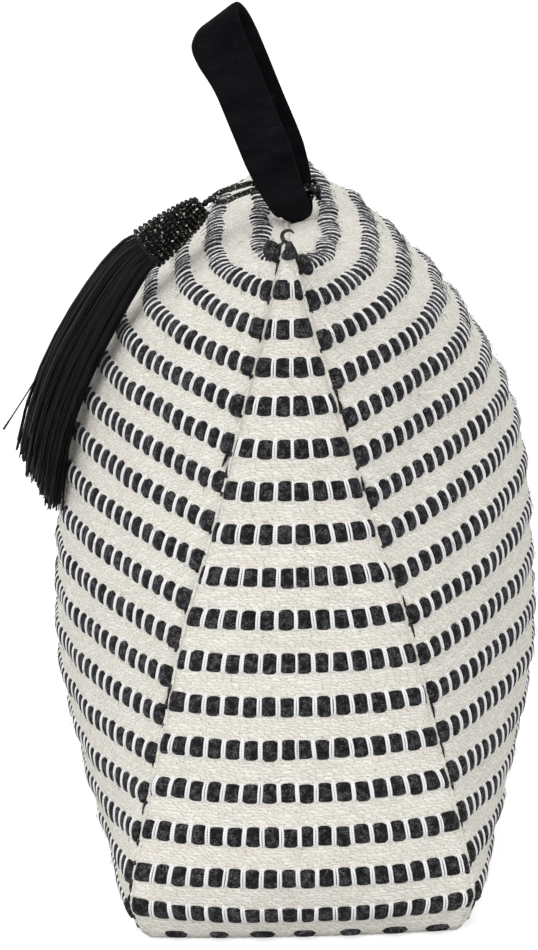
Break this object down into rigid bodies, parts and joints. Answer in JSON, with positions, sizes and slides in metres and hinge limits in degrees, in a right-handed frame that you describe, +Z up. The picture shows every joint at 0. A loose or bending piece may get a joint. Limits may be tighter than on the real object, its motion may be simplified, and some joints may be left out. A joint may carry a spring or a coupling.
{
  "type": "weighted fabric door stop",
  "caption": "Tent-shaped stuffed door stop in ivory cloth with rows of thick black yarn, a doubled black strap on the ridge and a beaded tassel on its left side.",
  "frame": {"origin": "centre of the bounding box's bottom face, on the floor under the stop", "axes": "+Z up; +Y along the ridge, from the gusset the picture shows to the far one; +X to the right as seen from the near gusset"},
  "size_m": [0.1934, 0.3026, 0.3182],
  "materials": {
    "ivory_weave": "coarse ivory basket weave, matte",
    "black_wool": "thick felted black wool yarn, bound by pairs of white threads",
    "pouch_cloth": "plain cotton pouch filled with sand",
    "wadding": "polyester fibre",
    "black_velvet": "black velvet ribbon, soft sheen",
    "tassel_thread": "black rayon strands, slight sheen",
    "dark_beads": "dark bronze glass seed beads"
  },
  "bodies": {
    "root": {"base_panel": "ivory_weave", "bead_cord": "dark_beads", "bead_sleeve": "dark_beads", "far_gusset": "ivory_weave", "handle_strap": "black_velvet", "left_panel": "ivory_weave", "left_yarn_row_01": "black_wool", "left_yarn_row_02": "black_wool", "left_yarn_row_03": "black_wool", "left_yarn_row_04": "black_wool", "left_yarn_row_05": "black_wool", "left_yarn_row_06": "black_wool", "left_yarn_row_07": "black_wool", "left_yarn_row_08": "black_wool", "left_yarn_row_09": "black_wool", "left_yarn_row_10": "black_wool", "left_yarn_row_11": "black_wool", "left_yarn_row_12": "black_wool", "left_yarn_row_13": "black_wool", "left_yarn_row_14": "black_wool", "left_yarn_row_15": "black_wool", "left_yarn_row_16": "black_wool", "left_yarn_row_17": "black_wool", "left_yarn_row_18": "black_wool", "near_gusset": "ivory_weave", "right_panel": "ivory_weave", "sand_pouch": "pouch_cloth", "tassel_core": "tassel_thread", "tassel_skirt": "tassel_thread", "wadding": "wadding", "yarn_row_01": "black_wool", "yarn_row_02": "black_wool", "yarn_row_03": "black_wool", "yarn_row_04": "black_wool", "yarn_row_05": "black_wool", "yarn_row_06": "black_wool", "yarn_row_07": "black_wool", "yarn_row_08": "black_wool", "yarn_row_09": "black_wool", "yarn_row_10": "black_wool", "yarn_row_11": "black_wool", "yarn_row_12": "black_wool", "yarn_row_13": "black_wool", "yarn_row_14": "black_wool", "yarn_row_15": "black_wool", "yarn_row_16": "black_wool", "yarn_row_17": "black_wool"}
  },
  "joints": []
}
